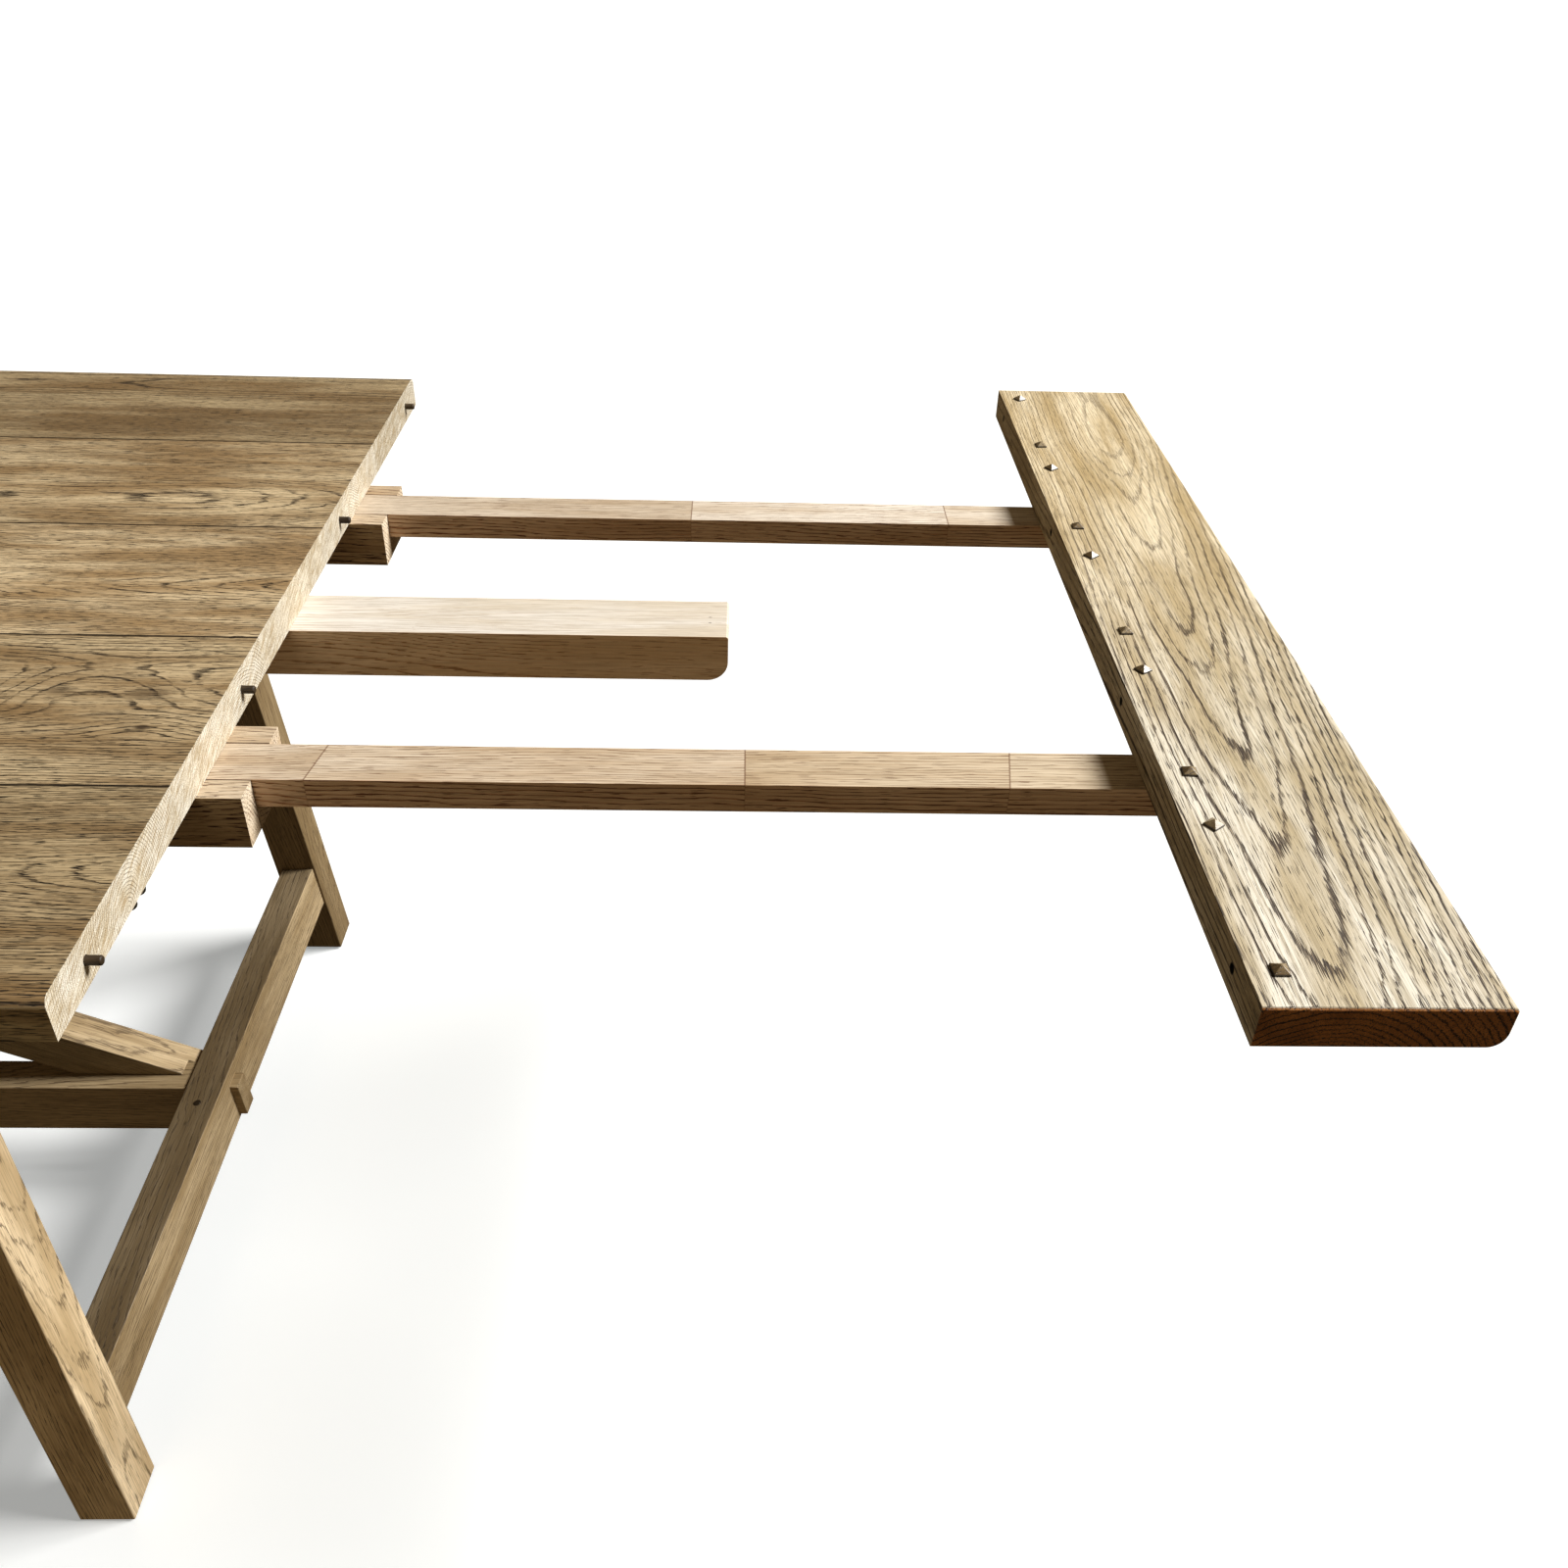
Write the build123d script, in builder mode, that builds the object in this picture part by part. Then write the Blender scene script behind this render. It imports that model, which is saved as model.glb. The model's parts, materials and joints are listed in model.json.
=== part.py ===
from build123d import *

import math
import os

# Extendable trestle dining table in oak, shown with both ends drawn out and no leaves in.
# Millimetres. +X runs along the table, +Y across it, +Z up; the origin is on the floor under the middle.

os.makedirs("parts", exist_ok=True)

# ---- overall -------------------------------------------------------------------------------------------
TABLE_HEIGHT = 750.0
TOP_THICKNESS = 32.0
TOP_WIDTH = 1016.0
MAIN_HALF_LENGTH = 917.0  # half the length of the fixed middle top
END_BOARD_WIDTH = 150.0
LEAF_GAP = 680.0  # opening between the middle top and a drawn-out end board
UNDERSIDE = TABLE_HEIGHT - TOP_THICKNESS
SLIDE_GAP = 0.4  # play left between pieces that slide past one another

# ---- boards of the middle top ----------------------------------------------------------------------------
BOARD_COUNT = 5
BOARD_WIDTH = TOP_WIDTH / BOARD_COUNT
LONG_EDGE_ROUND = 7.0
END_ARRIS = 1.2
SEAM_ARRIS = 0.6

# ---- end boards ------------------------------------------------------------------------------------------
END_BOARD_OUTER_LOWER_ROUND = 12.0
END_BOARD_OUTER_UPPER_ROUND = 4.0
END_BOARD_ARRIS = 1.5

# ---- locating dowels and the holes that take them ----------------------------------------------------------
DOWEL_Y = (-458.0, -154.0, 154.0, 458.0)
DOWEL_Z = TABLE_HEIGHT - TOP_THICKNESS / 2
DOWEL_ROOT_RADIUS = 3.5
DOWEL_RADIUS = 3.2
DOWEL_ROOT_DEPTH = 22.0
DOWEL_STRAIGHT = 8.5
DOWEL_TIP = 1.6
DOWEL_HOLE_RADIUS = 3.27
DOWEL_HOLE_DEPTH = 13.0

# ---- square pegs in the end boards -------------------------------------------------------------------------
PEG_INSET = 19.5  # from the inner edge of the end board
PEG_FROM_SEAM = 31.0
PEG_SHANK = 8.5
PEG_SHANK_DEPTH = 24.0
PEG_HEAD = 10.5
PEG_COLLAR = 1.3
PEG_PYRAMID = 3.7
PEG_APEX = 1.0
PEG_TURNS = (0.0, 38.0, -4.0, 35.0, 3.0, 40.0, -3.0, 37.0, 5.0, 34.0)

# ---- slide rails and their channels ------------------------------------------------------------------------
RAIL_Y = 227.0
RAIL_WIDTH = 46.0
RAIL_HEIGHT = 24.0
RAIL_INNER_END = 705.6
RAIL_UNDER_END_BOARD = 110.0
CHANNEL_HEIGHT = 44.0
CHEEK_WIDTH = 23.2
CHANNEL_REACH = 31.5  # how far a channel's end stands past the end of the top
CHANNEL_INNER_END = 25.0
CHANNEL_CLEAR = RAIL_WIDTH + 2 * SLIDE_GAP

# ---- support arms ------------------------------------------------------------------------------------------
ARM_WIDTH = 64.0
ARM_HEIGHT = 43.0
ARM_REACH = 371.0  # how far the arm's tip stands past the end of the top
ARM_LENGTH = 721.0
ARM_TRAVEL = 250.0
ARM_TIP_ROUND = 18.0
GUIDE_WIDTH = 24.0
GUIDE_HEIGHT = 44.0
GUIDE_INNER_END = 300.0
GUIDE_SETBACK = 60.0
KEEPER_LENGTH = 50.0
KEEPER_THICKNESS = 12.0
KEEPER_INNER_X = 345.0

# ---- stops: a pin in a groove ------------------------------------------------------------------------------
STOP_RADIUS = 3.5
STOP_GROOVE_DEPTH = 6.0
STOP_ENGAGE = 5.4
RAIL_STOP_SETBACK = 20.0
ENGAGED_TRAVEL = LEAF_GAP - SLIDE_GAP

# ---- legs and the trestles -----------------------------------------------------------------------------------
SPLAY = math.tan(math.radians(3.8))  # legs lean outwards both ways by this slope
LEAN = math.atan(SPLAY)
LEG_SIZE = 50.0
LEG_TOP_X = 683.7
LEG_TOP_Y = 339.2
LEG_ARRIS = 1.5
GLIDE_RADIUS = 16.0
GLIDE_THICKNESS = 3.0

HEAD_WIDTH = 40.0
HEAD_HEIGHT = 64.0
HEAD_TOP = UNDERSIDE - CHANNEL_HEIGHT
TENON_REACH = 25.0

CROSS_WIDTH = 40.0
CROSS_HEIGHT = 62.0
CROSS_ARRIS_X = 743.7  # the stretcher's outer top arris
CROSS_ARRIS_Z = 148.0
ARRIS = 1.2

LONG_WIDTH = 40.0
LONG_TOP = 141.0
LONG_HEIGHT = 65.0
THROUGH_TENON_WIDTH = 22.0
THROUGH_TENON_TOP = 133.7
THROUGH_TENON_HEIGHT = 43.0
THROUGH_TENON_STAND = 9.2
STRETCHER_PEG_RADIUS = 3.6
STRETCHER_PEG_Y = -45.0

# ---- braces ----------------------------------------------------------------------------------------------------
BRACE_WIDTH = 40.0
BRACE_DEPTH = 50.0
BRACE_ANGLE = math.radians(25.16)
BRACE_SLOPE = math.tan(BRACE_ANGLE)
BRACE_FOOT_X = 691.0  # the top face of the brace passes this point, low at its foot
BRACE_FOOT_Z = 143.4
BRACE_NOTCH_X = 692.0
BRACE_PIN_RADIUS = 6.0
BRACE_TENON_THICKNESS = 20.0
BRACE_TENON_HEIGHT = 26.0
BRACE_TENON_REACH = 18.0
MID_BEARER_X = 445.0
MID_BEARER_WIDTH = 50.0
MID_BEARER_HALF_LENGTH = 330.0
BATTEN_WIDTH = 50.0
BATTEN_HALF_LENGTH = 440.0

# ---- fixing screws ---------------------------------------------------------------------------------------------
SCREW_RADIUS = 2.2
SCREW_HEAD_RADIUS = 4.4
SCREW_HEAD_DEPTH = 2.6
CATCH_Y = (-386.0, -371.0)
CATCH_SETBACK = 5.0
CATCH_HEAD_RADIUS = 4.5
CATCH_HEAD_HEIGHT = 6.0

SIDES = {"right": 1, "left": -1}
ROWS = {"far": 1, "near": -1}


def save(part, name):
    """Label a finished piece and write its STEP file."""
    part.label = name
    export_step(part, f"parts/{name}.step")


def box(x0, x1, y0, y1, z0, z1):
    """A plain block between two corners."""
    with BuildPart() as block:
        with BuildSketch(Plane.XY.offset(z0)):
            with Locations(((x0 + x1) / 2, (y0 + y1) / 2)):
                Rectangle(x1 - x0, y1 - y0)
        extrude(amount=z1 - z0)
    return block.part


def eased(part, size):
    """The same block with every arris eased."""
    with BuildPart() as softened:
        add(part)
        chamfer(softened.edges(), size)
    return softened.part


def turned(part):
    """The same piece for the left end: a half turn about the table's middle."""
    return part.rotate(Axis.Z, 180)


def screws(places, head_z, length):
    """Countersunk screws driven upwards from head_z, one at each place."""
    with BuildPart() as group:
        with BuildSketch(Plane.XY.offset(head_z)):
            with Locations(*places):
                Circle(SCREW_HEAD_RADIUS)
        extrude(amount=SCREW_HEAD_DEPTH)
        with BuildSketch(Plane.XY.offset(head_z + SCREW_HEAD_DEPTH)):
            with Locations(*places):
                Circle(SCREW_RADIUS)
        extrude(amount=length - SCREW_HEAD_DEPTH)
    return group.part


def both_ends(places):
    """Places at the right end together with the same places at the left end."""
    return [(x, y) for x, y in places] + [(-x, -y) for x, y in places]


# ---- fixing screws, made first because the pieces are bored for them --------------------------------------------
CHEEK_OFFSETS = (CHANNEL_CLEAR / 2 + CHEEK_WIDTH / 2, -CHANNEL_CLEAR / 2 - CHEEK_WIDTH / 2)
cheek_lines = [row * RAIL_Y + offset for row in ROWS.values() for offset in CHEEK_OFFSETS]
guide_lines = [side * (ARM_WIDTH / 2 + SLIDE_GAP + GUIDE_WIDTH / 2) for side in (1, -1)]

slide_places = both_ends([(x, y) for x in (90.0, 560.0, 850.0) for y in cheek_lines])
guide_places = both_ends([(x, y) for x in (390.0, 570.0, 780.0) for y in guide_lines])
batten_places = [(0.0, row * BOARD_WIDTH) for row in range(-2, 3)]
top_screws = screws(slide_places + guide_places + batten_places, HEAD_TOP, 62.0)
bearer_places = [(x, y) for x in (LEG_TOP_X + 4.0, MID_BEARER_X) for y in cheek_lines]
bearer_screws = screws(both_ends(bearer_places), HEAD_TOP - HEAD_HEIGHT, HEAD_HEIGHT + 30.0)
save(top_screws, "top_screws")
save(bearer_screws, "bearer_screws")

# ---- catch screws: a pair of dome heads under one corner of each end ---------------------------------------------
with BuildPart() as catch_screws:
    catch_places = both_ends([(MAIN_HALF_LENGTH - CATCH_SETBACK, y) for y in CATCH_Y])
    with BuildSketch(Plane.XY.offset(UNDERSIDE)):
        with Locations(*catch_places):
            Circle(SCREW_RADIUS)
    extrude(amount=16.0)
    with BuildSketch(Plane.XY.offset(UNDERSIDE)):
        with Locations(*catch_places):
            Circle(CATCH_HEAD_RADIUS)
    extrude(amount=-CATCH_HEAD_HEIGHT)
    dome_edges = catch_screws.edges().group_by(Axis.Z)[0]
    fillet(dome_edges, CATCH_HEAD_RADIUS * 0.75)
save(catch_screws.part, "catch_screws")

# ---- locating dowels ------------------------------------------------------------------------------------------------
with BuildPart() as dowels_right:
    dowel_places = [(y, DOWEL_Z) for y in DOWEL_Y]
    with BuildSketch(Plane.YZ.offset(MAIN_HALF_LENGTH - DOWEL_ROOT_DEPTH)):
        with Locations(*dowel_places):
            Circle(DOWEL_ROOT_RADIUS)
    extrude(amount=DOWEL_ROOT_DEPTH)
    with BuildSketch(Plane.YZ.offset(MAIN_HALF_LENGTH)):
        with Locations(*dowel_places):
            Circle(DOWEL_RADIUS)
    extrude(amount=DOWEL_STRAIGHT + DOWEL_TIP)
    fillet(dowels_right.edges().group_by(Axis.X)[-1], DOWEL_TIP)
dowels_left = turned(dowels_right.part)
save(dowels_right.part, "locating_dowels_right")
save(dowels_left, "locating_dowels_left")

# ---- the boards of the middle top --------------------------------------------------------------------------------------
for index in range(BOARD_COUNT):
    y_low = -TOP_WIDTH / 2 + index * BOARD_WIDTH
    y_high = y_low + BOARD_WIDTH
    with BuildPart() as top_board:
        with BuildSketch(Plane.XY.offset(UNDERSIDE)):
            with Locations((0, (y_low + y_high) / 2)):
                Rectangle(2 * MAIN_HALF_LENGTH, BOARD_WIDTH)
        extrude(amount=TOP_THICKNESS)
        top_edges = top_board.edges().group_by(Axis.Z)[-1]
        near_edge = top_edges.sort_by(Axis.Y)[0]
        far_edge = top_edges.sort_by(Axis.Y)[-1]
        if index == 0:
            fillet(near_edge, LONG_EDGE_ROUND)
            chamfer(far_edge, SEAM_ARRIS)
        elif index == BOARD_COUNT - 1:
            fillet(far_edge, LONG_EDGE_ROUND)
            chamfer(near_edge, SEAM_ARRIS)
        else:
            chamfer([near_edge, far_edge], SEAM_ARRIS)
        for fastener in (top_screws, catch_screws.part, dowels_right.part, dowels_left):
            add(fastener, mode=Mode.SUBTRACT)
    save(top_board.part, f"top_board_{index + 1}")

# ---- centre batten -----------------------------------------------------------------------------------------------------
with BuildPart() as centre_batten:
    with BuildSketch(Plane.XY.offset(HEAD_TOP)):
        RectangleRounded(BATTEN_WIDTH, 2 * BATTEN_HALF_LENGTH, 3.0)
    extrude(amount=CHANNEL_HEIGHT)
    add(top_screws, mode=Mode.SUBTRACT)
save(centre_batten.part, "centre_batten")

# ---- slide channels: two cheeks and a floor strip for each rail ----------------------------------------------------------
CHANNEL_OUTER_END = MAIN_HALF_LENGTH + CHANNEL_REACH
FLOOR_TOP = UNDERSIDE - SLIDE_GAP - RAIL_HEIGHT - SLIDE_GAP
relief = box(MAIN_HALF_LENGTH, CHANNEL_OUTER_END, -TOP_WIDTH / 2, TOP_WIDTH / 2, UNDERSIDE - SLIDE_GAP, UNDERSIDE)

with BuildPart() as slide_pins_right:
    with BuildSketch(Plane.XY.offset(HEAD_TOP)):
        with Locations(*[(MAIN_HALF_LENGTH - RAIL_STOP_SETBACK, row * RAIL_Y) for row in ROWS.values()]):
            Circle(STOP_RADIUS)
    extrude(amount=UNDERSIDE - SLIDE_GAP - RAIL_HEIGHT + STOP_ENGAGE - HEAD_TOP)
slide_stop_pins = Part() + [slide_pins_right.part, turned(slide_pins_right.part)]

for side_name, side in SIDES.items():
    for row_name, row in ROWS.items():
        for cheek_name, cheek_side in (("outer", 1), ("inner", -1)):
            cheek_centre = RAIL_Y + cheek_side * (CHANNEL_CLEAR + CHEEK_WIDTH) / 2
            cheek_length = CHANNEL_OUTER_END - CHANNEL_INNER_END
            with BuildPart() as slide_cheek:
                with BuildSketch(Plane.XY.offset(HEAD_TOP)):
                    with Locations((side * (CHANNEL_INNER_END + cheek_length / 2), row * cheek_centre)):
                        Rectangle(cheek_length, CHEEK_WIDTH)
                extrude(amount=CHANNEL_HEIGHT)
                add(relief, mode=Mode.SUBTRACT)
                add(turned(relief), mode=Mode.SUBTRACT)
                add(top_screws, mode=Mode.SUBTRACT)
                add(bearer_screws, mode=Mode.SUBTRACT)
            save(slide_cheek.part, f"slide_cheek_{side_name}_{row_name}_{cheek_name}")
        with BuildPart() as slide_floor:
            with BuildSketch(Plane.XY.offset(HEAD_TOP)):
                with Locations((side * (CHANNEL_INNER_END + cheek_length / 2), row * RAIL_Y)):
                    Rectangle(cheek_length, CHANNEL_CLEAR)
            extrude(amount=FLOOR_TOP - HEAD_TOP)
            add(slide_stop_pins, mode=Mode.SUBTRACT)
        save(slide_floor.part, f"slide_floor_{side_name}_{row_name}")

# ---- guides and keepers of the support arms ----------------------------------------------------------------------------------
GUIDE_OUTER_END = MAIN_HALF_LENGTH - GUIDE_SETBACK
KEEPER_OUTER_X = GUIDE_OUTER_END - KEEPER_LENGTH / 2
GUIDE_CENTRE = ARM_WIDTH / 2 + SLIDE_GAP + GUIDE_WIDTH / 2
KEEPER_WIDTH = ARM_WIDTH + 2 * SLIDE_GAP + 2 * GUIDE_WIDTH

with BuildPart() as arm_pin_right:
    with BuildSketch(Plane.XY.offset(HEAD_TOP - KEEPER_THICKNESS)):
        with Locations((KEEPER_OUTER_X, 0)):
            Circle(STOP_RADIUS)
    extrude(amount=KEEPER_THICKNESS + UNDERSIDE - SLIDE_GAP - ARM_HEIGHT + STOP_ENGAGE - HEAD_TOP)
arm_stop_pins = Part() + [arm_pin_right.part, turned(arm_pin_right.part)]
save(Part() + [slide_stop_pins, arm_stop_pins], "stop_pins")

for side_name, side in SIDES.items():
    for row_name, row in ROWS.items():
        with BuildPart() as arm_guide:
            with BuildSketch(Plane.XY.offset(HEAD_TOP)):
                with Locations((side * (GUIDE_INNER_END + GUIDE_OUTER_END) / 2, row * GUIDE_CENTRE)):
                    Rectangle(GUIDE_OUTER_END - GUIDE_INNER_END, GUIDE_WIDTH)
            extrude(amount=GUIDE_HEIGHT)
            add(top_screws, mode=Mode.SUBTRACT)
        save(arm_guide.part, f"arm_guide_{side_name}_{row_name}")
    for keeper_name, keeper_x in (("outer", KEEPER_OUTER_X), ("inner", KEEPER_INNER_X)):
        with BuildPart() as arm_keeper:
            with BuildSketch(Plane.XY.offset(HEAD_TOP - KEEPER_THICKNESS)):
                with Locations((side * keeper_x, 0)):
                    RectangleRounded(KEEPER_LENGTH, KEEPER_WIDTH, 3.0)
            extrude(amount=KEEPER_THICKNESS)
            add(arm_stop_pins, mode=Mode.SUBTRACT)
        save(arm_keeper.part, f"arm_keeper_{side_name}_{keeper_name}")

# ---- the faces of a leaning cross stretcher, as lines in the XZ plane -------------------------------------------------------


def cross_outer_x(z):
    """X of the right cross stretcher's outer face at height z."""
    return CROSS_ARRIS_X + (CROSS_ARRIS_Z - z) * SPLAY


def cross_inner_x(z):
    """X of the right cross stretcher's inner face at height z."""
    return cross_outer_x(z) - CROSS_WIDTH / math.cos(LEAN)


def lean_plane(width_offset, drop_offset):
    """A plane across the cross stretcher, set from its outer top arris along its leaning section."""
    x = CROSS_ARRIS_X - width_offset * math.cos(LEAN) + drop_offset * math.sin(LEAN)
    z = CROSS_ARRIS_Z - width_offset * math.sin(LEAN) - drop_offset * math.cos(LEAN)
    return Plane(origin=(x, 0, z), x_dir=(math.cos(LEAN), 0, math.sin(LEAN)), z_dir=(0, -1, 0))


# ---- leg blanks, used to shape the rails that meet them --------------------------------------------------------------------


def leg_blank(side, row):
    """A leg before its mortises: a square post leaning outwards along the table and across it."""
    with BuildPart() as blank:
        with BuildSketch(Plane.XY.offset(UNDERSIDE)):
            with Locations((side * LEG_TOP_X, row * LEG_TOP_Y)):
                RectangleRounded(LEG_SIZE, LEG_SIZE, LEG_ARRIS)
        drop = UNDERSIDE - GLIDE_THICKNESS
        slant = math.sqrt(1 + 2 * SPLAY**2)
        extrude(amount=drop * slant, dir=(side * SPLAY, row * SPLAY, -1))
    return blank.part


blanks_right = [leg_blank(1, row) for row in ROWS.values()]

# ---- trestle heads -------------------------------------------------------------------------------------------------------------
HEAD_X = LEG_TOP_X + 4.0
with BuildPart() as trestle_head:
    with BuildSketch(Plane.XY.offset(HEAD_TOP - HEAD_HEIGHT)):
        with Locations((HEAD_X, 0)):
            Rectangle(HEAD_WIDTH, 2 * LEG_TOP_Y)
    extrude(amount=HEAD_HEIGHT)
    for blank in blanks_right:
        add(blank, mode=Mode.SUBTRACT)
    with BuildSketch(Plane.XY.offset(HEAD_TOP - HEAD_HEIGHT + 14.0)):
        with Locations((HEAD_X, 0)):
            Rectangle(HEAD_WIDTH / 2, 2 * (LEG_TOP_Y - LEG_SIZE / 2 + TENON_REACH))
    extrude(amount=HEAD_HEIGHT - 28.0)
    add(bearer_screws, mode=Mode.SUBTRACT)
save(trestle_head.part, "trestle_head_right")
trestle_head_left = turned(trestle_head.part)
save(trestle_head_left, "trestle_head_left")

# ---- long stretcher: runs between the trestles, its tenons standing out past them ---------------------------------------------
LONG_BOTTOM = LONG_TOP - LONG_HEIGHT
TENON_BOTTOM = THROUGH_TENON_TOP - THROUGH_TENON_HEIGHT
with BuildPart() as long_stretcher:
    with BuildSketch(Plane.XZ):
        with BuildLine():
            Polyline(
                (cross_inner_x(LONG_TOP), LONG_TOP),
                (cross_inner_x(LONG_BOTTOM), LONG_BOTTOM),
                (-cross_inner_x(LONG_BOTTOM), LONG_BOTTOM),
                (-cross_inner_x(LONG_TOP), LONG_TOP),
                close=True,
            )
        make_face()
    extrude(amount=LONG_WIDTH / 2, both=True)
    with BuildSketch(Plane.XZ):
        with BuildLine():
            Polyline(
                (cross_outer_x(THROUGH_TENON_TOP) + THROUGH_TENON_STAND, THROUGH_TENON_TOP),
                (cross_outer_x(TENON_BOTTOM) + THROUGH_TENON_STAND, TENON_BOTTOM),
                (-cross_outer_x(TENON_BOTTOM) - THROUGH_TENON_STAND, TENON_BOTTOM),
                (-cross_outer_x(THROUGH_TENON_TOP) - THROUGH_TENON_STAND, THROUGH_TENON_TOP),
                close=True,
            )
        make_face()
    extrude(amount=THROUGH_TENON_WIDTH / 2, both=True)
save(long_stretcher.part, "long_stretcher")

# ---- cross stretchers, with the pegs that lock their joints ------------------------------------------------------------------------
peg_centre = CROSS_WIDTH / 2
with BuildPart() as stretcher_peg:
    peg_plane = Plane(
        origin=(
            CROSS_ARRIS_X - peg_centre * math.cos(LEAN),
            STRETCHER_PEG_Y,
            CROSS_ARRIS_Z - peg_centre * math.sin(LEAN),
        ),
        x_dir=(0, 1, 0),
        z_dir=(-math.sin(LEAN), 0, math.cos(LEAN)),
    )
    with BuildSketch(peg_plane):
        Circle(STRETCHER_PEG_RADIUS)
    extrude(amount=0.8)
    with BuildSketch(peg_plane):
        Circle(STRETCHER_PEG_RADIUS)
    extrude(amount=-12.0)
stretcher_pegs = Part() + [stretcher_peg.part, turned(stretcher_peg.part)]

CROSS_TENON_HEIGHT = 38.0
with BuildPart() as cross_stretcher:
    section = lean_plane(CROSS_WIDTH / 2, CROSS_HEIGHT / 2)
    with BuildSketch(section):
        RectangleRounded(CROSS_WIDTH, CROSS_HEIGHT, ARRIS)
    extrude(amount=LEG_TOP_Y + 30.0, both=True)
    for blank in blanks_right:
        add(blank, mode=Mode.SUBTRACT)
    cross_solids = cross_stretcher.part.solids().sort_by(SortBy.VOLUME)
cross_body = cross_solids[-1]
with BuildPart() as cross_stretcher:
    add(cross_body)
    with BuildSketch(section):
        Rectangle(CROSS_WIDTH / 2, CROSS_TENON_HEIGHT)
    extrude(amount=LEG_TOP_Y - LEG_SIZE / 2 + 570.0 * SPLAY + TENON_REACH, both=True)
    add(long_stretcher.part, mode=Mode.SUBTRACT)
    add(stretcher_pegs, mode=Mode.SUBTRACT)
save(cross_stretcher.part, "cross_stretcher_right")
cross_stretcher_left = turned(cross_stretcher.part)
save(cross_stretcher_left, "cross_stretcher_left")

# ---- legs --------------------------------------------------------------------------------------------------------------------------
for side_name, side in SIDES.items():
    for row_name, row in ROWS.items():
        with BuildPart() as leg:
            add(leg_blank(side, row))
            for rail in (trestle_head.part, trestle_head_left, cross_stretcher.part, cross_stretcher_left):
                add(rail, mode=Mode.SUBTRACT)
        save(leg.part, f"leg_{side_name}_{row_name}")

with BuildPart() as foot_glides:
    reach = UNDERSIDE * SPLAY
    with BuildSketch(Plane.XY):
        with Locations(*[(sx * (LEG_TOP_X + reach), sy * (LEG_TOP_Y + reach)) for sx in (1, -1) for sy in (1, -1)]):
            Circle(GLIDE_RADIUS)
    extrude(amount=GLIDE_THICKNESS)
    chamfer(foot_glides.edges().group_by(Axis.Z)[0], 0.8)
save(foot_glides.part, "foot_glides")

# ---- braces: each rises from a trestle's foot, passes its twin at the middle and meets a bearer beyond -------------------------------


def brace_top_z(x):
    """Height of the right brace's upper face."""
    return BRACE_FOOT_Z + (BRACE_FOOT_X - x) * BRACE_SLOPE


BRACE_DROP = BRACE_DEPTH / math.cos(BRACE_ANGLE)
BRACE_HEAD_X = -MID_BEARER_X + MID_BEARER_WIDTH / 2
foot_high_x = (BRACE_FOOT_Z + BRACE_FOOT_X * BRACE_SLOPE - CROSS_ARRIS_Z - cross_inner_x(CROSS_ARRIS_Z) / SPLAY) / (
    BRACE_SLOPE - 1 / SPLAY
)
foot_low_x = foot_high_x - BRACE_DROP / (BRACE_SLOPE - 1 / SPLAY)
bearing_x = BRACE_FOOT_X - (LONG_TOP - BRACE_FOOT_Z + BRACE_DROP) / BRACE_SLOPE

with BuildPart() as brace_pin:
    with BuildSketch(Plane.XZ):
        with Locations((0, brace_top_z(0) - BRACE_DROP / 2)):
            Circle(BRACE_PIN_RADIUS)
    extrude(amount=BRACE_WIDTH + 1.5, both=True)
save(Part() + [stretcher_pegs, brace_pin.part], "frame_pegs")

with BuildPart() as brace_right:
    with BuildSketch(Plane.XZ):
        with BuildLine():
            Polyline(
                (BRACE_HEAD_X, brace_top_z(BRACE_HEAD_X)),
                (BRACE_NOTCH_X, brace_top_z(BRACE_NOTCH_X)),
                (BRACE_NOTCH_X, LONG_TOP),
                (bearing_x, LONG_TOP),
                (BRACE_HEAD_X, brace_top_z(BRACE_HEAD_X) - BRACE_DROP),
                close=True,
            )
        make_face()
    extrude(amount=-BRACE_WIDTH / 2)
    with BuildSketch(Plane.XZ.offset(-BRACE_WIDTH / 2)):
        with BuildLine():
            Polyline(
                (BRACE_HEAD_X, brace_top_z(BRACE_HEAD_X)),
                (foot_high_x, brace_top_z(foot_high_x)),
                (foot_low_x, brace_top_z(foot_low_x) - BRACE_DROP),
                (BRACE_HEAD_X, brace_top_z(BRACE_HEAD_X) - BRACE_DROP),
                close=True,
            )
        make_face()
    extrude(amount=-BRACE_WIDTH / 2)
    brace_tenon_z = brace_top_z(BRACE_HEAD_X) - BRACE_DROP / 2
    with BuildSketch(Plane.YZ.offset(BRACE_HEAD_X)):
        with Locations((BRACE_WIDTH / 2, brace_tenon_z)):
            Rectangle(BRACE_TENON_THICKNESS, BRACE_TENON_HEIGHT)
    extrude(amount=-BRACE_TENON_REACH)
    add(brace_pin.part, mode=Mode.SUBTRACT)
save(brace_right.part, "brace_right")
brace_left = turned(brace_right.part)
save(brace_left, "brace_left")

# ---- mid bearers: carried under the channels, they take the braces' heads -------------------------------------------------------------
for side_name, side in SIDES.items():
    with BuildPart() as mid_bearer:
        with BuildSketch(Plane.XY.offset(HEAD_TOP - HEAD_HEIGHT)):
            with Locations((side * MID_BEARER_X, 0)):
                RectangleRounded(MID_BEARER_WIDTH, 2 * MID_BEARER_HALF_LENGTH, 3.0)
        extrude(amount=HEAD_HEIGHT)
        add(bearer_screws, mode=Mode.SUBTRACT)
        add(brace_right.part, mode=Mode.SUBTRACT)
        add(brace_left, mode=Mode.SUBTRACT)
    save(mid_bearer.part, f"mid_bearer_{side_name}")

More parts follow.
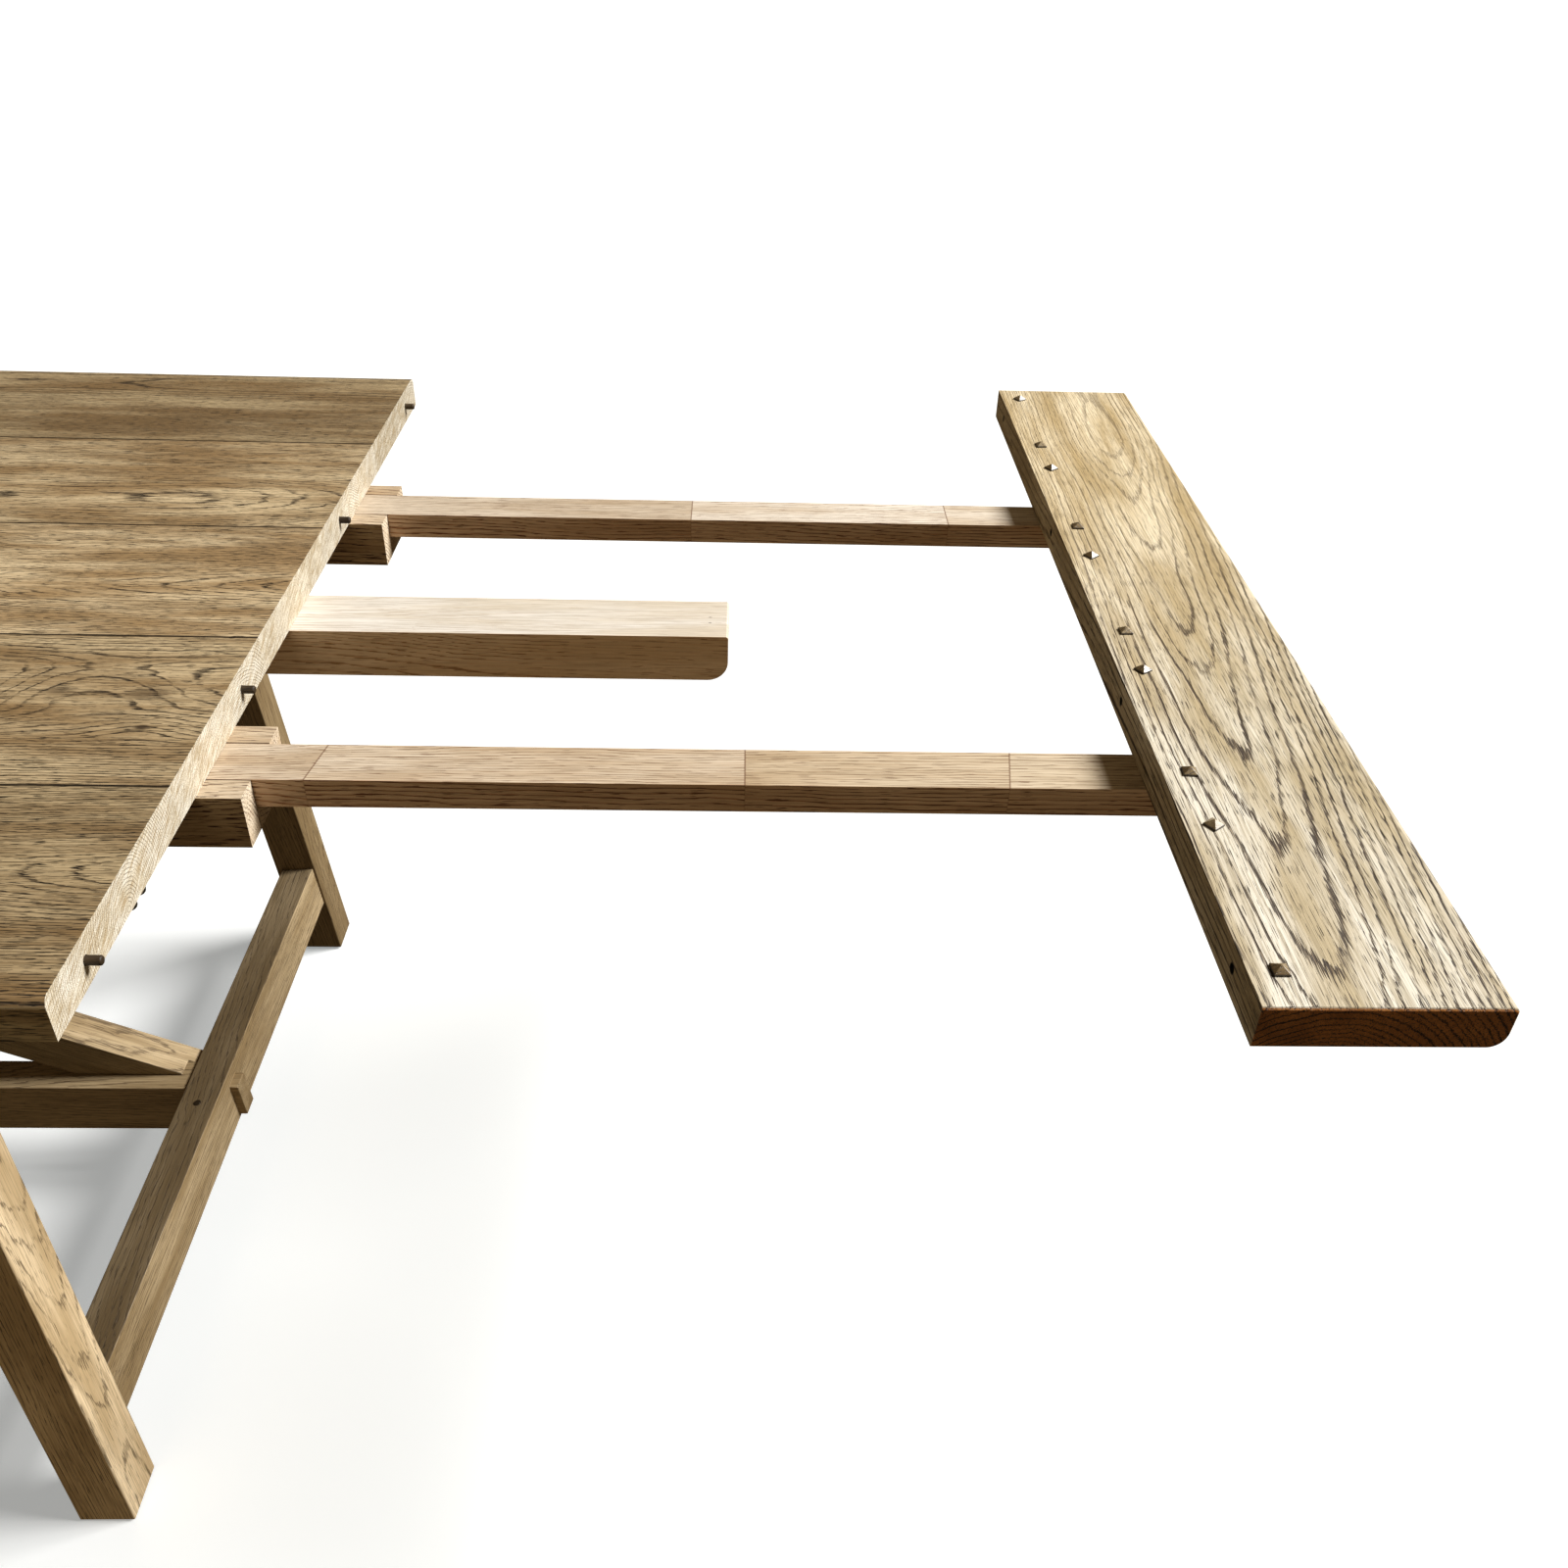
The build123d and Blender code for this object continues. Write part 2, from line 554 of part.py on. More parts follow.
# ---- the end board, its pegs, its rails and their screws (right end; the left end is the same, half turned) -------------------------------
END_INNER_X = MAIN_HALF_LENGTH + LEAF_GAP
END_OUTER_X = END_INNER_X + END_BOARD_WIDTH
RAIL_OUTER_END = END_INNER_X + RAIL_UNDER_END_BOARD
RAIL_TOP = UNDERSIDE - SLIDE_GAP
RAIL_BOTTOM = RAIL_TOP - RAIL_HEIGHT

peg_y = []
for index in range(BOARD_COUNT):
    board_centre = -TOP_WIDTH / 2 + (index + 0.5) * BOARD_WIDTH
    peg_y += [board_centre - BOARD_WIDTH / 2 + PEG_FROM_SEAM, board_centre + BOARD_WIDTH / 2 - PEG_FROM_SEAM]

with BuildPart() as square_pegs:
    for place_y, turn in zip(peg_y, PEG_TURNS):
        place = (END_INNER_X + PEG_INSET, place_y)
        with BuildSketch(Plane.XY.offset(TABLE_HEIGHT)):
            with Locations(place):
                Rectangle(PEG_SHANK, PEG_SHANK, rotation=turn)
        extrude(amount=-PEG_SHANK_DEPTH)
        with BuildSketch(Plane.XY.offset(TABLE_HEIGHT)):
            with Locations(place):
                Rectangle(PEG_HEAD, PEG_HEAD, rotation=turn)
        extrude(amount=PEG_COLLAR)
        with BuildSketch(Plane.XY.offset(TABLE_HEIGHT + PEG_COLLAR)):
            with Locations(place):
                Rectangle(PEG_HEAD, PEG_HEAD, rotation=turn)
        with BuildSketch(Plane.XY.offset(TABLE_HEIGHT + PEG_COLLAR + PEG_PYRAMID)):
            with Locations(place):
                Rectangle(PEG_APEX, PEG_APEX, rotation=turn)
        loft()

rail_screw_places = [(x, row * RAIL_Y) for x in (END_INNER_X + 35.0, END_INNER_X + 85.0) for row in ROWS.values()]
rail_screws = screws(rail_screw_places, RAIL_BOTTOM, 46.0)

with BuildPart() as end_board:
    with BuildSketch(Plane.XY.offset(UNDERSIDE)):
        with Locations(((END_INNER_X + END_OUTER_X) / 2, 0)):
            Rectangle(END_BOARD_WIDTH, TOP_WIDTH)
    extrude(amount=TOP_THICKNESS)
    outer_edges = end_board.edges().filter_by(Axis.Y).group_by(Axis.X)[-1].sort_by(Axis.Z)
    fillet(outer_edges[0], END_BOARD_OUTER_LOWER_ROUND)
    upper_outer = end_board.edges().filter_by(Axis.Y).group_by(Axis.Z)[-1].sort_by(Axis.X)[-1]
    fillet(upper_outer, END_BOARD_OUTER_UPPER_ROUND)
    short_edges = end_board.edges().filter_by(Axis.X).group_by(Axis.Z)[-1]
    chamfer(short_edges, END_BOARD_ARRIS)
    with BuildSketch(Plane.YZ.offset(END_INNER_X)):
        with Locations(*dowel_places):
            Circle(DOWEL_HOLE_RADIUS)
    extrude(amount=DOWEL_HOLE_DEPTH, mode=Mode.SUBTRACT)
    add(square_pegs.part, mode=Mode.SUBTRACT)
    add(rail_screws, mode=Mode.SUBTRACT)


def groove(x_low, x_high, y, bottom):
    """A stop groove cut up into the underside of a sliding piece, round at both ends."""
    with BuildPart() as slot:
        with BuildSketch(Plane.XY.offset(bottom)):
            with Locations(((x_low + x_high) / 2, y)):
                SlotOverall(x_high - x_low, 2 * (STOP_RADIUS + SLIDE_GAP))
        extrude(amount=STOP_GROOVE_DEPTH)
    return slot.part


stop_x = MAIN_HALF_LENGTH - RAIL_STOP_SETBACK
groove_margin = STOP_RADIUS + SLIDE_GAP
for row_name, row in ROWS.items():
    with BuildPart() as slide_rail:
        with BuildSketch(Plane.XY.offset(RAIL_BOTTOM)):
            with Locations(((RAIL_INNER_END + RAIL_OUTER_END) / 2, row * RAIL_Y)):
                Rectangle(RAIL_OUTER_END - RAIL_INNER_END, RAIL_WIDTH)
        extrude(amount=RAIL_HEIGHT)
        with BuildSketch(Plane.XY.offset(RAIL_TOP)):
            with Locations(((END_INNER_X + RAIL_OUTER_END) / 2, row * RAIL_Y)):
                Rectangle(RAIL_UNDER_END_BOARD, RAIL_WIDTH)
        extrude(amount=SLIDE_GAP)
        rail_groove = groove(stop_x - groove_margin, stop_x + ENGAGED_TRAVEL + groove_margin, row * RAIL_Y, RAIL_BOTTOM)
        add(rail_groove, mode=Mode.SUBTRACT)
        add(rail_screws, mode=Mode.SUBTRACT)
    save(slide_rail.part, f"slide_rail_right_{row_name}")
    opposite = "near" if row_name == "far" else "far"
    save(turned(slide_rail.part), f"slide_rail_left_{opposite}")

for side_name, side in SIDES.items():
    for name, part in (("end_board", end_board.part), ("square_pegs", square_pegs.part), ("rail_screws", rail_screws)):
        placed = part if side > 0 else turned(part)
        save(placed, f"{name}_{side_name}")

# ---- support arms -------------------------------------------------------------------------------------------------------------------
ARM_TIP_X = MAIN_HALF_LENGTH + ARM_REACH
ARM_TOP = UNDERSIDE - SLIDE_GAP
ARM_BOTTOM = ARM_TOP - ARM_HEIGHT
with BuildPart() as support_arm:
    with BuildSketch(Plane.XY.offset(ARM_BOTTOM)):
        with Locations((ARM_TIP_X - ARM_LENGTH / 2, 0)):
            Rectangle(ARM_LENGTH, ARM_WIDTH)
    extrude(amount=ARM_HEIGHT)
    tip_edges = support_arm.edges().filter_by(Axis.Y).group_by(Axis.X)[-1].sort_by(Axis.Z)
    fillet(tip_edges[0], ARM_TIP_ROUND)
    upper_tip = support_arm.edges().filter_by(Axis.Y).group_by(Axis.Z)[-1].sort_by(Axis.X)[-1]
    chamfer(upper_tip, 1.5)
    arm_groove = groove(KEEPER_OUTER_X - groove_margin, KEEPER_OUTER_X + ARM_TRAVEL + groove_margin, 0, ARM_BOTTOM)
    add(arm_groove, mode=Mode.SUBTRACT)
save(support_arm.part, "support_arm_right")
save(turned(support_arm.part), "support_arm_left")
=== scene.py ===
import json
import math
import random

import bmesh
import bpy
import numpy as np
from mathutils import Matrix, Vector


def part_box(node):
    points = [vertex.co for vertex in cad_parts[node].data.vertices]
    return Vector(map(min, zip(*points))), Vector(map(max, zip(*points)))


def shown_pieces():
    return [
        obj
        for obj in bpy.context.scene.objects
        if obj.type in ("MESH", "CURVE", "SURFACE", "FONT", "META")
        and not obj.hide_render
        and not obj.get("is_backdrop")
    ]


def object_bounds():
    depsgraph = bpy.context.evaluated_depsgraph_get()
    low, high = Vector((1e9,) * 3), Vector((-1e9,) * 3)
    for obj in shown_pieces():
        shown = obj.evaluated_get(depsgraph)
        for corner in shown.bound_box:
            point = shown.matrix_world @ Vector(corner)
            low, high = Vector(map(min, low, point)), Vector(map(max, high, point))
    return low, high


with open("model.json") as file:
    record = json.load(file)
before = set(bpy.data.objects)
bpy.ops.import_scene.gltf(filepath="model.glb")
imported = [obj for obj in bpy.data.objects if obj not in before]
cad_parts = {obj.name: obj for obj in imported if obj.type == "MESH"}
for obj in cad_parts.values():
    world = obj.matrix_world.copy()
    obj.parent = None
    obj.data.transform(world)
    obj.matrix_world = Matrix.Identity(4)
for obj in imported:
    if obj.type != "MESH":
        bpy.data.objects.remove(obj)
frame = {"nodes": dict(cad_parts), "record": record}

MM = 0.001
scene = bpy.context.scene
nodes = frame["nodes"]
cad_low, cad_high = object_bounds()

# ---------------------------------------------------------------- camera

# The place is in metres, the turn in degrees, the lens and the sensor in mm, the shift in picture widths.
CAMERA_PLACE = (1.2986, -1.0685, 1.2993)
CAMERA_TURN = (55.126, -1.636, -1.168)
CAMERA_LENS = 31.739
CAMERA_SENSOR = 36.0
CAMERA_SHIFT = (-0.0004, -0.0070)


def add_camera():
    data = bpy.data.cameras.new("camera")
    data.sensor_width = CAMERA_SENSOR
    data.lens = CAMERA_LENS
    data.shift_x, data.shift_y = CAMERA_SHIFT
    data.clip_start, data.clip_end = 0.05, 100.0
    camera = bpy.data.objects.new("camera", data)
    camera.location = CAMERA_PLACE
    camera.rotation_euler = [math.radians(a) for a in CAMERA_TURN]
    scene.collection.objects.link(camera)
    scene.camera = camera


# ---------------------------------------------------------------- node graphs


def linear(hex_colour):
    """A colour written as six hex digits of sRGB, as linear RGBA."""
    out = []
    for i in (0, 2, 4):
        c = int(hex_colour[i : i + 2], 16) / 255
        out.append(c / 12.92 if c <= 0.04045 else ((c + 0.055) / 1.055) ** 2.4)
    return (*out, 1.0)


class Graph:
    """Adds nodes to one tree. Every argument may be a number, a vector or another node's output."""

    def __init__(self, tree):
        self.tree = tree

    def node(self, kind, **properties):
        made = self.tree.nodes.new(kind)
        for key, value in properties.items():
            setattr(made, key, value)
        return made

    def feed(self, socket, value):
        if isinstance(value, bpy.types.NodeSocket):
            self.tree.links.new(value, socket)
        else:
            socket.default_value = value

    def math(self, operation, *values, clamp=False):
        made = self.node("ShaderNodeMath", operation=operation, use_clamp=clamp)
        for socket, value in zip(made.inputs, values):
            self.feed(socket, value)
        return made.outputs[0]

    def add(self, a, b):
        return self.math("ADD", a, b)

    def sub(self, a, b):
        return self.math("SUBTRACT", a, b)

    def mul(self, a, b):
        return self.math("MULTIPLY", a, b)

    def size(self, a):
        """A number without its sign."""
        return self.math("ABSOLUTE", a)

    def hypot(self, a, b):
        return self.math("SQRT", self.add(self.mul(a, a), self.mul(b, b)))

    def dot(self, a, b):
        made = self.node("ShaderNodeVectorMath", operation="DOT_PRODUCT")
        self.feed(made.inputs[0], a)
        self.feed(made.inputs[1], b)
        return made.outputs["Value"]

    def vector(self, x, y, z):
        made = self.node("ShaderNodeCombineXYZ")
        for socket, value in zip(made.inputs, (x, y, z)):
            self.feed(socket, value)
        return made.outputs[0]

    def place_from(self, origin):
        """The place of a point from an origin given in metres, in mm along the axes of the row frame."""
        away = self.node("ShaderNodeVectorMath", operation="SUBTRACT")
        self.feed(away.inputs[0], self.node("ShaderNodeTexCoord").outputs["Object"])
        away.inputs[1].default_value = origin
        in_mm = self.node("ShaderNodeVectorMath", operation="SCALE")
        self.feed(in_mm.inputs[0], away.outputs[0])
        in_mm.inputs["Scale"].default_value = 1 / MM
        return in_mm.outputs[0]

    def axis(self, index):
        """The coordinate along X, Y or Z (0, 1 or 2) in the row frame, in mm."""
        place = self.node("ShaderNodeTexCoord").outputs["Object"]
        return self.mul(self.dot(place, [1.0 if i == index else 0.0 for i in range(3)]), 1 / MM)

    def facing(self, way):
        """How squarely the surface looks along a way: 1 straight along it, -1 against it."""
        return self.dot(self.node("ShaderNodeTexCoord").outputs["Normal"], way)

    def stretch(self, u, v, w, size_u, size_v, size_w):
        """The place (u, v, w) measured in pieces of that size each way."""
        return self.vector(
            self.math("DIVIDE", u, size_u),
            self.math("DIVIDE", v, size_v),
            self.math("DIVIDE", w, size_w),
        )

    def noise(self, place, detail=2.0, roughness=0.5):
        made = self.node("ShaderNodeTexNoise", noise_dimensions="3D")
        self.feed(made.inputs["Vector"], place)
        made.inputs["Scale"].default_value = 1.0
        made.inputs["Detail"].default_value = detail
        made.inputs["Roughness"].default_value = roughness
        made.inputs["Distortion"].default_value = 0.0
        return made.outputs["Fac"]

    def centred(self, place, detail=2.0, roughness=0.5):
        """Noise from about -0.5 to 0.5."""
        return self.sub(self.noise(place, detail, roughness), 0.5)

    def ease(self, value, low, high, to_low=0.0, to_high=1.0):
        """A smooth step from to_low, up to low, to to_high, from high on."""
        made = self.node("ShaderNodeMapRange", interpolation_type="SMOOTHSTEP")
        made.inputs["To Min"].default_value = to_low
        made.inputs["To Max"].default_value = to_high
        self.feed(made.inputs["Value"], value)
        self.feed(made.inputs["From Min"], low)
        self.feed(made.inputs["From Max"], high)
        return made.outputs["Result"]

    def mix(self, share, a, b, blend="MIX"):
        """Colour a with a share of colour b. The Mix node has a set of sockets for each data type, so those
        of the colours are found by their identifiers."""
        made = self.node("ShaderNodeMix", data_type="RGBA", blend_type=blend)
        sockets = {s.identifier: s for s in made.inputs}
        self.feed(sockets["Factor_Float"], share)
        self.feed(sockets["A_Color"], a)
        self.feed(sockets["B_Color"], b)
        return next(s for s in made.outputs if s.identifier == "Result_Color")

    def tinted(self, share, colour, tint):
        """The colour multiplied by a tint of red, green and blue, by that share."""
        return self.mix(share, colour, (*tint, 1.0), "MULTIPLY")

    def bump(self, shader, height, depth):
        """Gives the shader a relief that deep, in mm."""
        made = self.node("ShaderNodeBump")
        made.inputs["Strength"].default_value = 1.0
        made.inputs["Distance"].default_value = depth * MM
        self.feed(made.inputs["Height"], height)
        self.feed(shader.inputs["Normal"], made.outputs["Normal"])


# ---------------------------------------------------------------- the oak's looks

# Colours are sRGB hex digits, and all lengths are in mm.
# tones: the wood's light and dark tone.
# line, pore: the colours of its ring lines and its open pores.
# lines, pores: how strongly those show. sides: how much more so on faces that don't look up or down.
# ring: the width of a growth ring. late: the share of it that its dark line takes.
# ragged: how far along the grain the lines are feathered. ripple: the length of the waves in them.
# steady: how much of a line is left where it breaks up.
# open: the noise over which a pore opens, so lower makes more. crowd: how much lower it is on a ring line.
# pore_long, pore_wide: the size of the pores.
# relief: the depth of the brushed grain. gloss: the roughness. shine: the specular level.
USUAL = dict(late=0.26, ragged=46, ripple=110, steady=0.30, open=0.65, crowd=0.22, pore_long=20,
             pore_wide=1.0, sides=1.0, shine=0.35)
LOOKS = {
    "top_oak": dict(
        tones=("c6b08a", "8a6f4b"), line="46341d", pore="20170d", lines=0.58, pores=0.98,
        ring=2.5, late=0.25, ragged=18, ripple=260, open=0.595, crowd=0.16, pore_long=11, pore_wide=0.55,
        gloss=0.50, relief=0.60),
    "end_oak": dict(
        tones=("ddd1b9", "b19d78"), line="634c30", pore="33261a", lines=0.84, pores=0.90, sides=1.4,
        ring=4.3, late=0.23, ragged=36, ripple=240, steady=0.50, open=0.615, pore_wide=0.8,
        gloss=0.42, relief=0.90),
    "rail_oak": dict(
        tones=("dccdb8", "c0aa8e"), line="946c4b", pore="644229", lines=0.54, pores=0.68, sides=1.8,
        ring=2.3, ragged=16, steady=0.5, gloss=0.60, relief=0.12),
    "arm_oak": dict(
        tones=("e7e0d6", "d7cab6"), line="b89c7c", pore="91765a", lines=0.20, pores=0.25, sides=3.4,
        ring=2.6, ragged=24, gloss=0.60, relief=0.08),
    "channel_oak": dict(
        tones=("cfbda3", "b09573"), line="7c5639", pore="4a2a19", lines=0.55, pores=0.85, sides=1.2,
        ring=3.4, gloss=0.72, relief=0.35),
    "frame_oak": dict(
        tones=("bca580", "967e59"), line="6d5636", pore="3d2c1c", lines=0.36, pores=0.56,
        ring=3.0, ragged=26, steady=0.45, open=0.66, gloss=0.52, relief=0.25),
    "peg_oak": dict(
        tones=("b09c78", "7d6745"), line="443219", pore="241a0f", lines=0.6, pores=0.7,
        ring=2.6, gloss=0.34, relief=0.06, shine=0.6),
    "dowel_wood": dict(
        tones=("4c3d28", "302315"), line="22180e", pore="160f08", lines=0.5, pores=0.5,
        ring=2.0, gloss=0.5, relief=0.10),
}
# Boards and sticks are cut from different trees, so each has its own lightness. For the right legs and the
# right
# brace it is also painted light: the near leg and the brace are made lighter and the far leg darker, for
# light that falls more strongly on the near side.
TREES_AND_LIGHT = {"top_board_1": 0.80, "top_board_2": 1.02, "top_board_3": 1.34, "top_board_4": 1.14,
         "top_board_5": 0.78, "leg_right_far": 0.62, "leg_left_near": 0.75, "leg_right_near": 2.05,
         "leg_left_far": 1.3, "brace_right": 1.28, "brace_left": 1.1, "long_stretcher": 0.9,
         "frame_pegs": 0.5,
         "slide_rail_right_far": 0.89, "slide_rail_left_near": 0.89,
         "slide_rail_right_near": 0.95, "slide_rail_left_far": 0.95}
# A darker piece is also a warmer one: the power of the lightness that each of red, green and blue takes.
TREE_WARMTH = (1.0, 1.08, 1.25)
# How some boards' rings lie: the pith's distance below and its place across in mm, how much it leans along
# the board, and how much it strays sideways along it.
FIGURES = {"end_board_right": (44, 0, -0.036, -0.052), "end_board_left": (48, 8, 0.037, 0.05),
           "top_board_1": (80, -8, -0.070, 0.02), "top_board_2": (46, 44, 0.020, -0.02),
           "top_board_3": (72, -10, -0.066, 0.0), "top_board_4": (60, -52, 0.02, 0.02),
           "top_board_5": (70, 66, -0.02, 0.0)}
# Knots and the dark smudges round them: the place and the size across in mm, and how dark they are.
KNOTS = {"top_board_2": ((873, -233, 750, 5, 0.9), (861, -188, 750, 13, 0.5), (796, -185, 750, 10, 0.5)),
         "leg_right_far": ((725, 454, 52, 8, 0.8),), "leg_left_far": ((-725, 430, 300, 8, 0.8),),
         "top_board_4": ((-310, 190, 750, 9, 0.7),), "cross_stretcher_right": ((720, -73, 148, 3, 0.8),),
         "support_arm_right": ((1272, -7, 718, 1.3, 0.8), (1272, 3, 718, 1.3, 0.8))}
# Each rail is glued up from shorter lengths. For each joint: its distance from the table's middle in mm, its
# slope across the rail, and what the wood past it multiplies the colour by.
NEAR_JOINTS = ((989, 0.15, (1.03, 1.02, 1.0)), (1303, 0.0, (0.90, 0.87, 0.80)),
               (1500, 0.14, (1.04, 1.06, 1.08)))
FAR_JOINTS = ((1248, 0.0, (1.25, 1.34, 1.48)), (1505, 0.0, (0.98, 0.97, 0.95)))
GLUE_JOINTS = {"slide_rail_right_near": NEAR_JOINTS, "slide_rail_left_far": NEAR_JOINTS,
               "slide_rail_right_far": FAR_JOINTS, "slide_rail_left_near": FAR_JOINTS}
# The end boards' grain stands out less towards one end: which way along Y it fades.
FADING = {"end_board_right": 1, "end_board_left": -1}

# The end faces that meet the leaves are bare: their two tones, and how light one board's is beside them.
RAW_TONES = ("dfd6c2", "cbbda1")
RAW_TREES = {"top_board_5": 0.82}
# The rays show on them as fine pale strokes with tan between, which run along Y and climb a little.
RAY_LEAN = math.radians(21)
RAY_SIZE = (15, 1.1, 1)
RAY_PALE = "f4ecdb"
RAY_TAN = "ac9067"
RAW_LINE = "a58c68"
RAW_PORE = "856a47"

# What stain and painted light and shade do to the colour of the faces that they reach, as a factor on each
# of red, green and blue. The rims are the long edges of the top, made lighter as painted light: -1 is the
# one on the -Y side, and 1 the one on the +Y side.
RIM_LIGHT = {-1: (1.9, 2.2, 2.6), 1: (1.25, 1.25, 1.2)}
END_GRAIN_STAIN = "d28f4a"
# Painted shade: the cheeks' long sides, turned away from the lamp, are darkened.
CHEEK_SIDE_SHADE = (0.74, 0.66, 0.54)
# Painted light: the cheeks' end faces, on the side turned to the lamp, are made lighter and cooler.
CHEEK_END_LIGHT = (1.35, 1.42, 1.5)
# Painted light: the rails' long sides, in shade, are made lighter and warmer.
RAIL_SIDE_LIGHT = (1.30, 1.14, 1.04)
# Painted light: the arms' long sides, in shade, are made lighter and warmer.
ARM_SIDE_LIGHT = (1.36, 1.15, 0.93)
# Painted shade: the right brace's sides are darkened beside its lightened top.
BRACE_SIDE_SHADE = (0.64, 0.66, 0.66)
# Painted shadow: the cross stretchers' top and bottom faces are darkened.
STRETCHER_LEVEL_SHADE = (0.42, 0.41, 0.40)
# Painted sheen: one half of each end board is made greyer, and the other keeps a warm tan.
SHEEN_GREY = (0.96, 1.0, 1.08)
WARM_TAN = (0.98, 0.93, 0.82)

# The colours of what lies in and on the wood, and of painted shade: in the gap beside a rail, in a hole, and
# at a peg's foot.
KNOT_BROWN = "2c1d10"
GLUE_BROWN = "6b4a33"
SEAM_GLAZE = "1d140b"
# Painted shadow in the gap beside each running rail.
GAP_SHADOW = "3a2618"
# Painted shade inside the dowel holes.
HOLE_SHADE = "0c0805"
# Painted contact shadow at the foot of the pegs.
PEG_SHADE = "1c1209"

# A face is told from the inside of its piece by the outer skin of that thickness, in mm.
SKIN = 0.4

# Noise lies mostly between 0.3 and 0.7. Each of these is the stretch of it over which a look comes or goes.
CLOUD_TURN = (0.34, 0.66)
FIBRE_TURN = (0.40, 0.66)
BREAK_TURN = (0.36, 0.56)
PALE_RAY_TURN = (0.50, 0.64)
TAN_RAY_TURN = (0.36, 0.48)
# The same for how squarely a face looks along a way.
LEVEL_TURN = (0.3, 0.8)
SQUARE_TURN = (0.6, 0.9)

# A dark line is full up to the first distance in mm and gone from the second: from a glue joint, from the
# edge between two boards, past the side of a running rail (a painted shadow), past the edge of a hole and
# down it (painted shade), and above the board that a peg stands in (a painted contact shadow).
GLUE_LINE = (0.25, 0.9)
SEAM_LINE = (0.6, 1.7)
GAP_SHADOW_LINE = (0.8, 2.0)
HOLE_RIM = (0.2, 1.0)
HOLE_DEPTH = (14, 15)
PEG_FOOT = (1.1, 2.0)
# End grain is fully stained down to the first depth in mm, and not at all from the second.
END_GRAIN_DEPTH = (0.6, 1.2)


# ---------------------------------------------------------------- how the wood grew


def tree_tones(tones, tree):
    """The two tones of a wood, in the lightness given for one piece, which for some pieces holds painted
    light.
    """
    return [[c * tree**warm for c, warm in zip(linear(t), TREE_WARMTH)] + [1.0] for t in tones]


def grain_axes(thing):
    """Unit vectors along the grain, across it, and through the thickness, from the piece's own faces:
    the grain runs where the least face area looks."""
    spread = np.zeros((3, 3))
    for face in thing.data.polygons:
        normal = np.array(face.normal)
        spread += face.area * np.outer(normal, normal)
    along = Vector(np.linalg.eigh(spread)[1][:, 0])
    along *= math.copysign(1, max(along, key=abs))
    up = Vector((1, 0, 0)) if abs(along.z) > 0.8 else Vector((0, 0, 1))
    through = (up - along * up.dot(along)).normalized()
    return along, through.cross(along), through


# A piece whose thickness and width come to less than this, in metres, is a narrow stick.
NARROW = 0.14


def drawn_figure(size, chance):
    """How the rings lie in a piece of that size in metres, in the order of FIGURES. Narrow sticks are split
    out beside the pith, so their grain is straighter."""
    thin, wide, _ = sorted(size)
    side_from, side_to = (45, 90) if thin + wide < NARROW else (0, 35)
    return (chance.uniform(45, 95), chance.choice((-1, 1)) * chance.uniform(side_from, side_to),
            chance.choice((-1, 1)) * chance.uniform(0.02, 0.05), chance.uniform(-0.03, 0.03))


